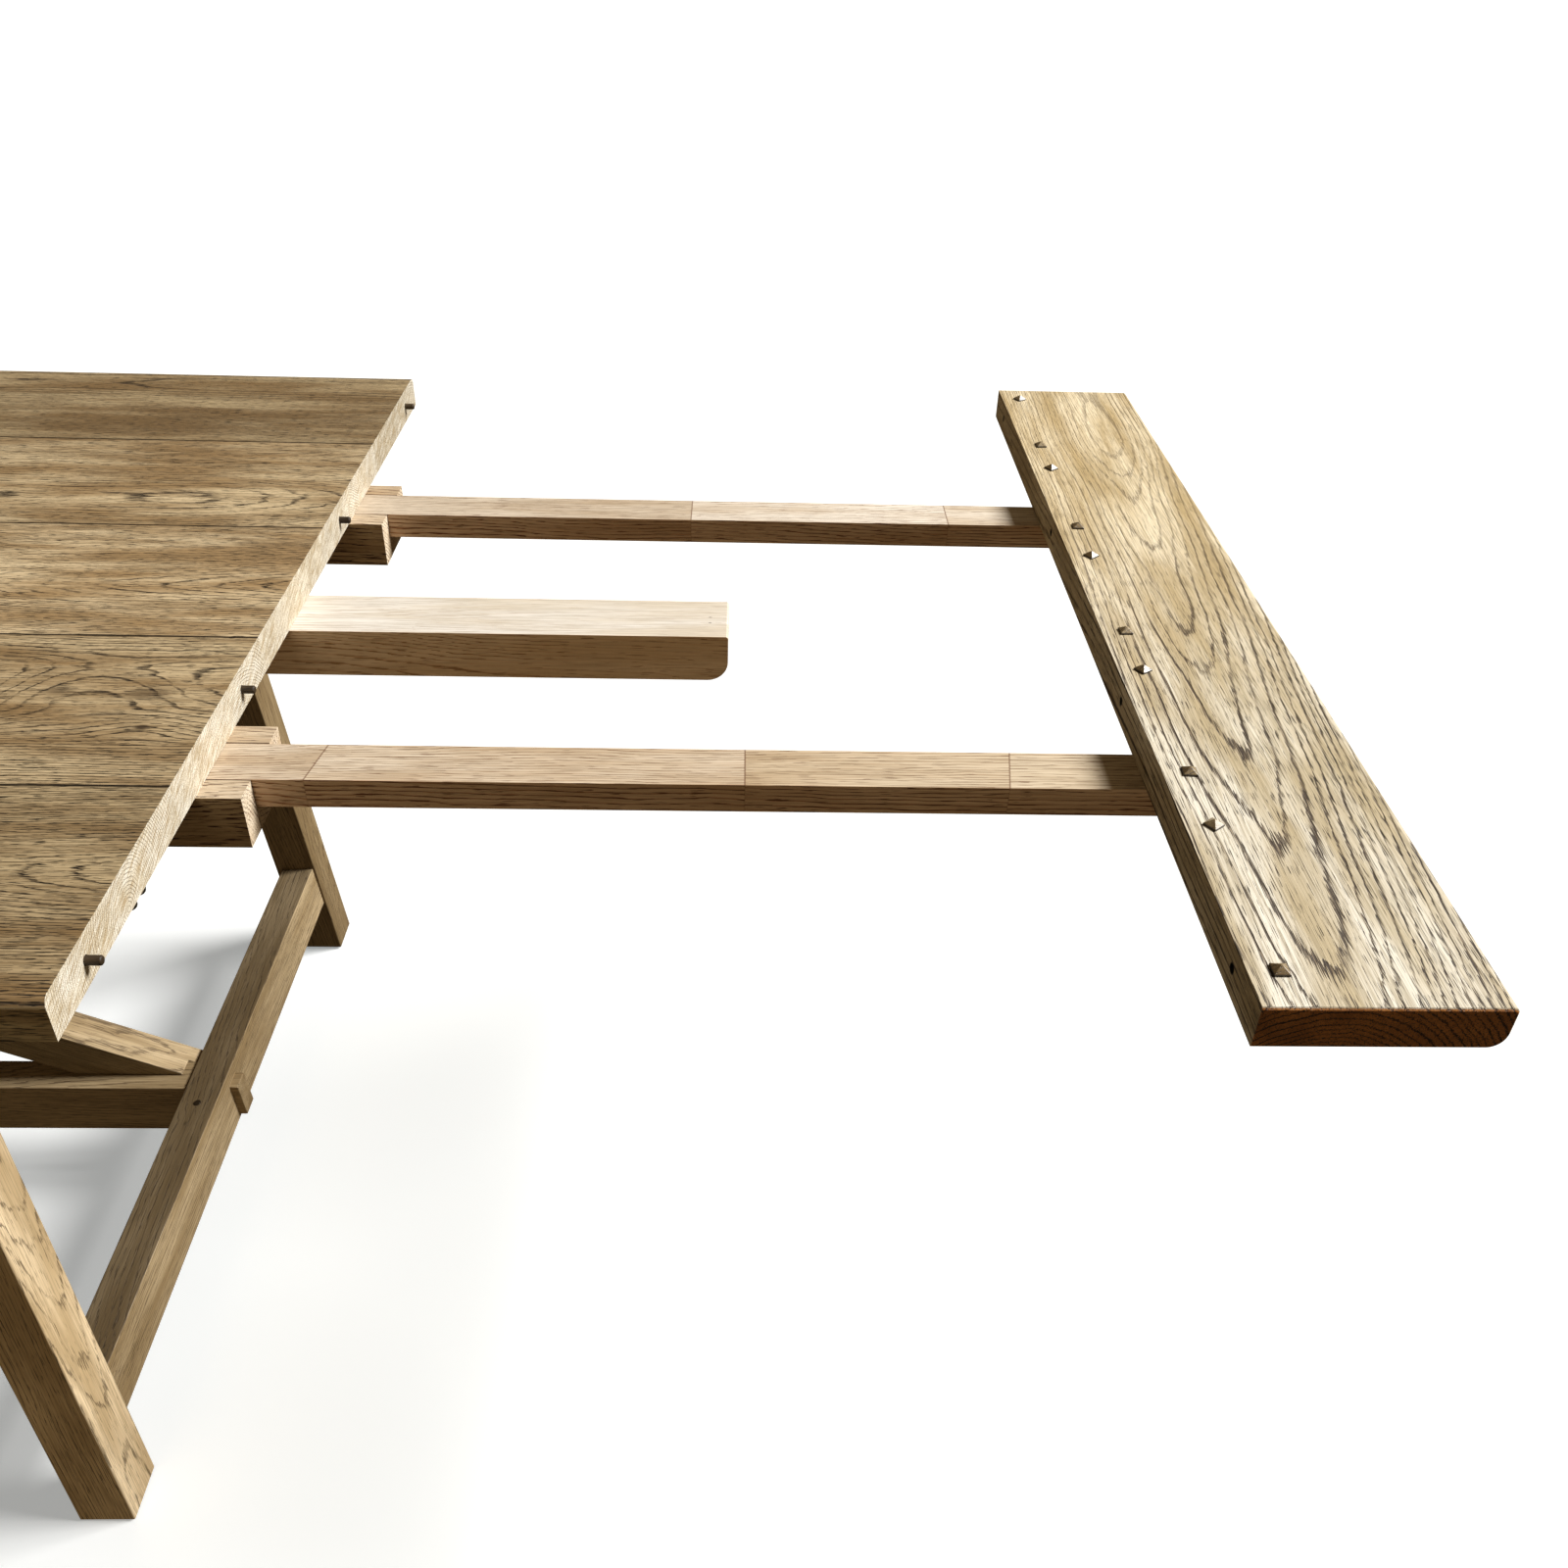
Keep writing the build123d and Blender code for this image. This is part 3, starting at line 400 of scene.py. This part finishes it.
class Board:
    """One piece's wood, as outputs of a node graph. run is the place along the grain in mm, and u, v and w
    the place in the tree it was cut from. line, pores, fibre, cloud and knot go from 0 to 1."""

    # The size in mm of each unevenness: along the grain, across it, and through the thickness.
    FEATHER = (17, 1.0, 1.0)
    WANDER = (330, 2000, 1)
    SWAY = (610, 2000, 1)
    RIPPLE_ACROSS = 30
    BROKEN = (160, 20, 20)
    FIBRE = (60, 1.1, 1.1)
    CLOUD = (240, 34, 34)
    # How far in mm the pith wanders down and sideways, and how far the rings ripple.
    WANDERS, SWAYS, RIPPLES = 30, 24, 6.0
    # A length that is glued on comes from this much further along the tree, in mm.
    NEXT_LENGTH = 700
    # Wide and narrow rings follow each other over this distance in mm, and are out of step by so many rings.
    YEARS, UNEVEN = 21, 3.0
    # As shares of a ring: where its own line begins to fade, and where the next one's sets in.
    LINE_FADES, LINE_SETS_IN = 0.04, 0.94
    # A factor on the line's width where the ring lies flat, and what is added to it where it stands upright.
    FLAT, UPRIGHT = 0.6, 0.8
    # How far over its limit the noise is where a pore is fully open.
    PORE_OPEN = 0.05

    def __init__(self, g, thing, look, chance):
        along, across, through = grain_axes(thing)
        low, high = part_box(thing.name)
        place = g.place_from((low + high) / 2)
        start = chance.uniform(-900, 900)
        self.joints = glued_lengths(g, thing.name)
        for past, _, _ in self.joints:
            start = g.add(start, g.mul(past, self.NEXT_LENGTH))
        self.run = g.dot(place, along)
        self.deep = g.dot(place, through)
        self.u = g.add(self.run, start)
        self.v = g.dot(place, across)
        self.w = g.add(self.deep, chance.uniform(-200, 200))
        self.shift = chance.uniform(-500, 500)
        figure = FIGURES.get(thing.name, drawn_figure(high - low, chance))
        self.knot, bulge = knots(g, thing.name, along)
        self.line = self.ring_lines(g, look, figure, bulge)
        self.pores = self.open_pores(g, look)
        self.fibre = g.noise(self.stretched(g, self.FIBRE), 3, 0.65)
        self.cloud = g.noise(self.stretched(g, self.CLOUD), 3, 0.6)

    def stretched(self, g, sizes):
        return g.stretch(self.u, self.v, self.w, *sizes)

    def ring_lines(self, g, look, figure, bulge):
        """The dark lines of the growth rings, which stand round a pith below the board. The pith wanders
        and leans as the tree did."""
        pith_deep, pith_side, lean, stray = figure
        # The vessels end raggedly along the grain, so each ring line is feathered.
        ragged = g.mul(g.centred(self.stretched(g, self.FEATHER), 1), look["ragged"])
        far = g.add(self.u, ragged)
        wander = g.centred(g.stretch(far, self.v, self.shift, *self.WANDER), 1)
        sway = g.centred(g.stretch(far, self.v, self.shift + 40, *self.SWAY), 1)
        run = g.add(self.run, ragged)
        depth = g.add(g.add(self.deep, g.add(g.mul(run, lean), pith_deep)), g.mul(wander, self.WANDERS))
        side = g.sub(g.sub(self.v, pith_side), g.mul(run, stray))
        side = g.add(side, g.mul(sway, self.SWAYS))
        radius = g.hypot(depth, side)
        # Where the rings lie flat under the surface their lines would spread out, so they are drawn thinner.
        steep = g.math("DIVIDE", g.size(side), radius)
        across = self.RIPPLE_ACROSS
        ripple = g.centred(self.stretched(g, (look["ripple"], across, across)), 3, 0.55)
        radius = g.add(g.add(radius, g.mul(ripple, self.RIPPLES)), bulge)
        uneven = g.centred(g.vector(g.math("DIVIDE", radius, self.YEARS), self.shift, 0.0), 1)
        rings = g.add(g.math("DIVIDE", radius, look["ring"]), g.mul(uneven, self.UNEVEN))
        phase = g.math("FRACT", rings)
        rise = g.ease(phase, self.LINE_SETS_IN, 1.0)
        late = g.mul(g.math("MULTIPLY_ADD", steep, self.UPRIGHT, self.FLAT), look["late"])
        fall = g.ease(phase, self.LINE_FADES, late, 1.0, 0.0)
        whole = g.ease(g.noise(self.stretched(g, self.BROKEN), 2), *BREAK_TURN, look["steady"], 1.0)
        return g.mul(g.math("MAXIMUM", rise, fall), whole)

    def open_pores(self, g, look):
        """Short streaks along the grain, which crowd together on the ring lines."""
        wide = look["pore_wide"]
        streaks = g.noise(self.stretched(g, (look["pore_long"], wide, wide)), 1)
        limit = g.sub(look["open"], g.mul(self.line, look["crowd"]))
        return g.ease(g.sub(streaks, limit), 0.0, self.PORE_OPEN)


def glued_lengths(g, name):
    """For each glue joint of a rail: 1 past it and 0 before it, the distance from it in mm, and the tint
    past it."""
    low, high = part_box(name)
    end = math.copysign(1, low.x)
    middle = end * (low.y + high.y) / 2 / MM
    made = []
    for place, slope, tint in GLUE_JOINTS.get(name, ()):
        run = g.mul(g.axis(0), end)
        across = g.mul(g.axis(1), end)
        gap = g.sub(g.sub(run, g.mul(g.sub(across, middle), slope)), place)
        made.append((g.math("GREATER_THAN", gap, 0.0), g.size(gap), tint))
    return made


# Knots are drawn out along the grain, so this share of the square of a distance along it is left out.
KNOT_DRAWN_OUT = 0.7
# In sizes of the knot: where it is fully dark and where it ends, how far out the rings bulge round it, and
# by how much.
KNOT_EDGE = (0.2, 1.0)
KNOT_REACH = 6.0
KNOT_BULGE = 0.8


def knots(g, name, along):
    """How far into a knot a point is, from 0 to 1, and how far the rings bulge round it, in mm."""
    depth, bulge = 0.0, 0.0
    for x, y, z, size, dark in KNOTS.get(name, ()):
        away = g.place_from((x * MM, y * MM, z * MM))
        run = g.dot(away, along)
        square = g.sub(g.dot(away, away), g.mul(g.mul(run, run), KNOT_DRAWN_OUT))
        near = g.math("DIVIDE", g.math("SQRT", g.math("MAXIMUM", square, 0.0)), size)
        depth = g.math("MAXIMUM", depth, g.ease(near, *KNOT_EDGE, dark, 0.0))
        bulge = g.add(bulge, g.ease(near, 0.0, KNOT_REACH, KNOT_BULGE * size, 0.0))
    return depth, bulge


# ---------------------------------------------------------------- stain and painted light and shade


def middle_y(name):
    """The middle of a piece along Y, and half its width, in mm."""
    low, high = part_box(name)
    return (low.y + high.y) / 2 / MM, (high.y - low.y) / 2 / MM


def away_from(g, middle):
    """The distance along Y from that place in mm."""
    return g.size(g.sub(g.axis(1), middle))


# How dark the fibres are beside the tan tone, and how much of that shows.
FIBRE_SHADE = 0.70
FIBRE_SHARE = 0.7
# Over which stretch along an end board, in mm, its grain fades, and how much of it is left.
FADE_RUN = (-280, 300)
FADED = 0.32


def grained(g, name, wood, look, tones):
    """The clear wood with its fibres, ring lines, pores and knots."""
    light, tan = tones
    colour = g.mix(g.ease(wood.cloud, *CLOUD_TURN), tan, light)
    fibre = [c * FIBRE_SHADE for c in tan[:3]] + [1.0]
    colour = g.mix(g.ease(wood.fibre, *FIBRE_TURN, 0.0, FIBRE_SHARE), colour, fibre)
    fade = 1.0
    if name in FADING:
        fade = g.ease(g.mul(wood.run, FADING[name]), *FADE_RUN, 1.0, FADED)
    if look["sides"] != 1.0:
        level = g.size(g.facing((0.0, 0.0, 1.0)))
        fade = g.mul(fade, g.ease(level, *LEVEL_TURN, look["sides"], 1.0))
    lines = g.math("MULTIPLY", wood.line, g.mul(fade, look["lines"]), clamp=True)
    pores = g.math("MULTIPLY", wood.pores, g.mul(fade, look["pores"]), clamp=True)
    colour = g.mix(lines, colour, linear(look["line"]))
    colour = g.mix(pores, colour, linear(look["pore"]))
    return g.mix(wood.knot, colour, linear(KNOT_BROWN))


def glued(g, wood, colour):
    """The lengths of a rail differ in colour on top, and the glue shows as a thin line between them."""
    up = g.ease(g.facing((0.0, 0.0, 1.0)), *LEVEL_TURN)
    for past, _, tint in wood.joints:
        colour = g.tinted(g.mul(past, up), colour, tint)
    for _, gap, _ in wood.joints:
        seam = g.mul(g.ease(gap, *GLUE_LINE, 0.75, 0.0), g.math("MAXIMUM", up, 0.25))
        colour = g.mix(seam, colour, linear(GLUE_BROWN))
    return colour


def raw_end_faces(g, wood, name, colour):
    """The end faces that meet the leaves are bare oak, which the stain of the top doesn't cover."""
    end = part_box(name)[1].x / MM
    x, y, z = (g.axis(i) for i in range(3))
    bare = g.ease(g.size(x), end - SKIN, end - SKIN / 2)
    light, tan = tree_tones(RAW_TONES, RAW_TREES.get(name, 1.0))
    raw = g.mix(g.ease(wood.cloud, *CLOUD_TURN), tan, light)
    raw = g.mix(g.mul(wood.line, 0.22), raw, linear(RAW_LINE))
    run = g.mul(y, g.math("SIGN", x))
    ray_cos, ray_sin = math.cos(RAY_LEAN), math.sin(RAY_LEAN)
    along = g.add(g.mul(run, ray_cos), g.mul(z, ray_sin))
    across = g.sub(g.mul(z, ray_cos), g.mul(run, ray_sin))
    rays = g.noise(g.stretch(along, across, wood.shift, *RAY_SIZE), 2, 0.6)
    raw = g.mix(g.ease(rays, *PALE_RAY_TURN, 0.0, 0.75), raw, linear(RAY_PALE))
    raw = g.mix(g.ease(rays, *TAN_RAY_TURN, 0.65, 0.0), raw, linear(RAY_TAN))
    raw = g.mix(g.mul(wood.pores, 0.6), raw, linear(RAW_PORE))
    return g.mix(bare, colour, raw)


def dark_seams(g, name, colour):
    """Glaze lies dark in the fine groove between two boards."""
    low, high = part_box(name)
    for edge in (low.y / MM, high.y / MM):
        if abs(edge) < cad_high.y / MM - 1:
            glaze = g.ease(away_from(g, edge), *SEAM_LINE, 0.95, 0.0)
            colour = g.mix(glaze, colour, linear(SEAM_GLAZE))
    return colour


def painted_rim_light(g, colour):
    """Both long edges of the whole top are made lighter as painted light, and the near one, on the shaded
    side, much lighter and cooler.
    """
    rim = cad_high.y / MM
    for side, stain in RIM_LIGHT.items():
        out = g.ease(g.mul(g.axis(1), side), rim - SKIN, rim - SKIN / 2)
        colour = g.tinted(out, colour, stain)
    return colour


def painted_light_facing(g, colour, way, stain):
    """Paints light or shade, as a factor, on the faces that look along that way or against it."""
    return g.tinted(g.ease(g.size(g.facing(way)), *SQUARE_TURN), colour, stain)


def painted_light_sides(g, name, colour, middle, stain):
    """Paints light or shade, as a factor, on the faces of the piece that are furthest along Y from that
    middle in mm.
    """
    low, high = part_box(name)
    reach = max(abs(low.y / MM - middle), abs(high.y / MM - middle))
    return g.tinted(g.ease(away_from(g, middle), reach - SKIN, reach - SKIN / 2), colour, stain)


def stained_end_grain(g, name, colour):
    """End grain drinks the stain and turns a dark red-brown."""
    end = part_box(name)[1].y / MM
    full, gone = END_GRAIN_DEPTH
    cut = g.ease(away_from(g, 0.0), end - gone, end - full)
    return g.mix(cut, colour, linear(END_GRAIN_STAIN), "MULTIPLY")


# Over which stretch along an end board, in mm, its painted grey sheen turns into tan.
SHEEN_RUN = (-340, 260)


def sheen_along(g, name, colour):
    """One half of each end board is greyer, a painted sheen, and the other keeps a warm tan."""
    end = math.copysign(1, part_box(name)[0].x)
    run = g.mul(g.axis(1), end)
    tint = g.mix(g.ease(run, *SHEEN_RUN), (*SHEEN_GREY, 1.0), (*WARM_TAN, 1.0))
    return g.mix(1.0, colour, tint, "MULTIPLY")


def shaded_gap(g, colour, middle, half):
    """A painted shadow darkens the cheeks along the edges where a rail, that far from its middle, runs
    between them.
    """
    full, gone = GAP_SHADOW_LINE
    painted_shade = g.ease(away_from(g, middle), half + full, half + gone, 0.85, 0.0)
    return g.mix(painted_shade, colour, linear(GAP_SHADOW))


def shaded_holes(g, name, colour):
    """The blind holes for the dowels are painted dark inside, a painted shade that spreads a little past
    their rim.
    Each mount gives a pair of them, as far to one side of the middle as to the other."""
    x, y, z = (g.axis(i) for i in range(3))
    full, gone = HOLE_RIM
    for mount in frame["record"]["mounts"]:
        place = mount["pos_m"]
        if mount["kind"] != "bolt_pattern" or place[0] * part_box(name)[0].x < 0:
            continue
        side = g.sub(g.size(y), mount["dims"]["spacing_x_mm"] / 2)
        away = g.hypot(side, g.sub(z, place[2] / MM))
        radius = mount["dims"]["hole_r_mm"]
        deep = g.sub(g.size(x), abs(place[0]) / MM)
        inside = g.ease(away, radius + full, radius + gone, 1.0, 0.0)
        inside = g.mul(inside, g.ease(deep, *HOLE_DEPTH, 1.0, 0.0))
        colour = g.mix(inside, colour, linear(HOLE_SHADE))
    return colour


def shaded_pegs(g, colour):
    """The square pegs are darkened at the foot of their heads, a painted contact shadow, and the frame's
    pegs, all lower than that, are dark all over."""
    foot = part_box("end_board_right")[1].z / MM
    full, gone = PEG_FOOT
    painted_shade = g.ease(g.axis(2), foot + full, foot + gone, 0.95, 0.0)
    return g.mix(painted_shade, colour, linear(PEG_SHADE))


def treated(g, name, slot, wood, colour):
    """What stain, glaze and painted light and shade make of the wood of one piece."""
    if slot == "top_oak":
        colour = painted_rim_light(g, colour)
        colour = dark_seams(g, name, colour)
        colour = raw_end_faces(g, wood, name, colour)
    if slot == "end_oak":
        colour = sheen_along(g, name, colour)
        colour = stained_end_grain(g, name, colour)
        colour = shaded_holes(g, name, colour)
    if slot == "peg_oak":
        colour = shaded_pegs(g, colour)
    if slot == "arm_oak":
        colour = painted_light_sides(g, name, colour, 0.0, ARM_SIDE_LIGHT)
    if name.startswith("slide_cheek"):
        rail = name.replace("cheek", "rail").replace("_inner", "").replace("_outer", "")
        middle, half = middle_y(rail)
        colour = painted_light_sides(g, name, colour, middle, CHEEK_SIDE_SHADE)
        colour = painted_light_facing(g, colour, (1.0, 0.0, 0.0), CHEEK_END_LIGHT)
        colour = shaded_gap(g, colour, middle, half)
    if name.startswith("slide_rail"):
        colour = painted_light_sides(g, name, colour, middle_y(name)[0], RAIL_SIDE_LIGHT)
    if name == "brace_right":
        colour = painted_light_facing(g, colour, (0.0, 1.0, 0.0), BRACE_SIDE_SHADE)
    if name.startswith("cross_stretcher"):
        colour = painted_light_facing(g, colour, (0.0, 0.0, 1.0), STRETCHER_LEVEL_SHADE)
    return colour


# ---------------------------------------------------------------- materials

# How far ring lines and pores sink in and fibres stand out, as shares of the relief.
LINE_SUNK = 0.5
PORE_SUNK = 0.6
FIBRE_RAISED = 0.5
# How much rougher a ring line is than the wood.
LINE_ROUGHER = 0.15
# Steel and plastic: two tones, the roughness, the metal, and the grain's size and depth in mm.
GLIDE_PLASTIC = dict(tones=("1b1a18", "2b2927"), rough=0.5, metal=0.0, grain=0.5, relief=0.05)
SCREW_STEEL = dict(tones=("6a655e", "4b4640"), rough=0.38, metal=1.0, grain=0.3, relief=0.02)
# They are rubbed in patches of that size in mm, which are smoother or rougher by so much.
PATCH = 6
RUBBED = 0.12


def plain_material(name, colour, rough, metal=0.0):
    """A new material of one colour, and its shader."""
    material = bpy.data.materials.new(name)
    material.use_nodes = True
    shader = material.node_tree.nodes["Principled BSDF"]
    shader.inputs["Base Color"].default_value = linear(colour)
    shader.inputs["Roughness"].default_value = rough
    shader.inputs["Metallic"].default_value = metal
    return material, shader


def oak_material(name, thing, slot):
    """The oak of one piece. Its draws are seeded by its name, so they are the same each run."""
    chance = random.Random(name)
    look = {**USUAL, **LOOKS[slot]}
    material, shader = plain_material(name, look["tones"][0], look["gloss"])
    g = Graph(material.node_tree)
    wood = Board(g, thing, look, chance)
    tones = tree_tones(look["tones"], TREES_AND_LIGHT.get(name) or chance.uniform(0.9, 1.1))
    colour = glued(g, wood, grained(g, name, wood, look, tones))
    g.feed(shader.inputs["Base Color"], treated(g, name, slot, wood, colour))
    sunk = g.add(g.mul(wood.line, LINE_SUNK), g.mul(wood.pores, PORE_SUNK))
    g.bump(shader, g.sub(g.mul(wood.fibre, FIBRE_RAISED), sunk), look["relief"])
    g.feed(shader.inputs["Roughness"], g.add(look["gloss"], g.mul(wood.line, LINE_ROUGHER)))
    shader.inputs["Specular IOR Level"].default_value = look["shine"]
    return material


def scuffed_material(name, tones, rough, metal, grain, relief):
    """Steel or plastic with a fine grain and rubbed patches."""
    material, shader = plain_material(name, tones[0], rough, metal)
    g = Graph(material.node_tree)
    place = [g.axis(i) for i in range(3)]
    patches = g.noise(g.stretch(*place, PATCH, PATCH, PATCH), 3, 0.6)
    fine = g.noise(g.stretch(*place, grain, grain, grain), 2)
    colour = g.mix(g.ease(patches, 0.35, 0.65), linear(tones[0]), linear(tones[1]))
    g.feed(shader.inputs["Base Color"], colour)
    g.feed(shader.inputs["Roughness"], g.ease(patches, 0.3, 0.7, rough - RUBBED, rough + RUBBED))
    g.bump(shader, fine, relief)
    return material


slots = {name: thing.material_slots[0].material.name.split(".")[0] for name, thing in nodes.items()}
for name, thing in nodes.items():
    slot = slots[name]
    if slot in LOOKS:
        material = oak_material(name, thing, slot)
    elif slot == "glide_plastic":
        material = scuffed_material(name, **GLIDE_PLASTIC)
    else:
        material = scuffed_material(name, **SCREW_STEEL)
    thing.material_slots[0].material = material


# ---------------------------------------------------------------- arrises

# How far the sharp corners of the wood are rubbed down, in mm.
ARRIS = {"top_oak": 1.2, "end_oak": 1.2, "rail_oak": 0.6, "arm_oak": 0.8, "channel_oak": 0.5,
         "frame_oak": 1.2, "peg_oak": 0.4, "dowel_wood": 0.3}
SHARP = math.radians(40)


def soften(thing, width):
    """Rounds the piece's sharp corners."""
    weld = thing.modifiers.new("weld", "WELD")
    weld.merge_threshold = 0.01 * MM
    bevel = thing.modifiers.new("arris", "BEVEL")
    bevel.width = width * MM
    bevel.segments = 2
    bevel.limit_method = "ANGLE"
    bevel.angle_limit = SHARP
    bevel.use_clamp_overlap = True
    bevel.harden_normals = True


for name, thing in nodes.items():
    if slots[name] in ARRIS:
        soften(thing, ARRIS[slots[name]])


# ---------------------------------------------------------------- stage

# Places and sizes are in metres, angles in degrees.
FLOOR_HALF = 40.0
FLOOR_PAINT = "f6f6f4"
FLOOR_GLOW = (0.88, 0.96, 1.0, 1)
FLOOR_GLOW_STRENGTH = 0.33
SHELL_RADIUS = 60.0
SHELL_PAINT = "ffffff"
KEY_PLACE = (8.9, 1.8, 7.4)
KEY_AIM = (0.9, 0.0, 0.6)
KEY_SIZE = 4.0
KEY_POWER = 2230
KEY_COLOUR = (1.0, 1.0, 0.99)
SUN_TILT = (0, 50, 10)
SUN_SPREAD = 26
SUN_STRENGTH = 4.5
WORLD_COLOUR = (1.0, 0.74, 0.43, 1)
WORLD_STRENGTH = 0.135


def add_floor():
    """A pale floor. It lights nothing, so its glow doesn't reach the underside of the table."""
    data = bpy.data.meshes.new("floor")
    corners = [(x * FLOOR_HALF, y * FLOOR_HALF, 0.0) for x, y in ((-1, -1), (1, -1), (1, 1), (-1, 1))]
    data.from_pydata(corners, [], [(0, 1, 2, 3)])
    made = bpy.data.objects.new("floor", data)
    scene.collection.objects.link(made)
    material, paint = plain_material("floor_paint", FLOOR_PAINT, 0.8)
    paint.inputs["Emission Color"].default_value = FLOOR_GLOW
    paint.inputs["Emission Strength"].default_value = FLOOR_GLOW_STRENGTH
    data.materials.append(material)
    made.visible_diffuse = False
    made.visible_glossy = False
    return made


floor = add_floor()
floor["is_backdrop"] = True


def glow_material(name, colour, strength):
    material = bpy.data.materials.new(name)
    material.use_nodes = True
    tree = material.node_tree
    tree.nodes.remove(tree.nodes["Principled BSDF"])
    glow = tree.nodes.new("ShaderNodeEmission")
    glow.inputs["Color"].default_value = linear(colour)
    glow.inputs["Strength"].default_value = strength
    tree.links.new(glow.outputs[0], tree.nodes["Material Output"].inputs["Surface"])
    return material


def add_backdrop():
    """A pale shell far outside everything, seen by the camera and lighting nothing."""
    data = bpy.data.meshes.new("backdrop")
    mesh = bmesh.new()
    bmesh.ops.create_uvsphere(mesh, u_segments=48, v_segments=24, radius=SHELL_RADIUS)
    mesh.to_mesh(data)
    mesh.free()
    shell = bpy.data.objects.new("backdrop", data)
    scene.collection.objects.link(shell)
    data.materials.append(glow_material("backdrop_paint", SHELL_PAINT, 1.0))
    for ray in ("diffuse", "glossy", "transmission", "volume_scatter", "shadow"):
        setattr(shell, "visible_" + ray, False)
    shell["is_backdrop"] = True


def add_lamp(name, kind, lights):
    """A lamp that lights only the objects of one collection, and its data."""
    data = bpy.data.lights.new(name, kind)
    lamp = bpy.data.objects.new(name, data)
    lamp.light_linking.receiver_collection = lights
    scene.collection.objects.link(lamp)
    return lamp, data


def add_key(lights):
    """A round soft lamp, high up past the seen end of the table."""
    lamp, data = add_lamp("key", "AREA", lights)
    data.shape = "DISK"
    data.size = KEY_SIZE
    data.energy = KEY_POWER
    data.color = KEY_COLOUR
    lamp.location = KEY_PLACE
    lamp.rotation_euler = (Vector(KEY_AIM) - Vector(KEY_PLACE)).to_track_quat("-Z", "Y").to_euler()


def add_floor_light(lights):
    """A far soft lamp for the floor alone, where it casts the table's pale shadow."""
    lamp, data = add_lamp("floor_light", "SUN", lights)
    data.angle = math.radians(SUN_SPREAD)
    data.energy = SUN_STRENGTH
    lamp.rotation_euler = [math.radians(a) for a in SUN_TILT]


def lit_set(name, things):
    made = bpy.data.collections.new(name)
    for thing in things:
        made.objects.link(thing)
    return made


def add_world():
    world = bpy.data.worlds.new("world")
    world.use_nodes = True
    background = world.node_tree.nodes["Background"]
    background.inputs["Color"].default_value = WORLD_COLOUR
    background.inputs["Strength"].default_value = WORLD_STRENGTH
    scene.world = world


add_camera()
add_backdrop()
add_key(lit_set("table_set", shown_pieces()))
add_floor_light(lit_set("floor_set", [floor]))
add_world()
scene.view_settings.view_transform = "Standard"
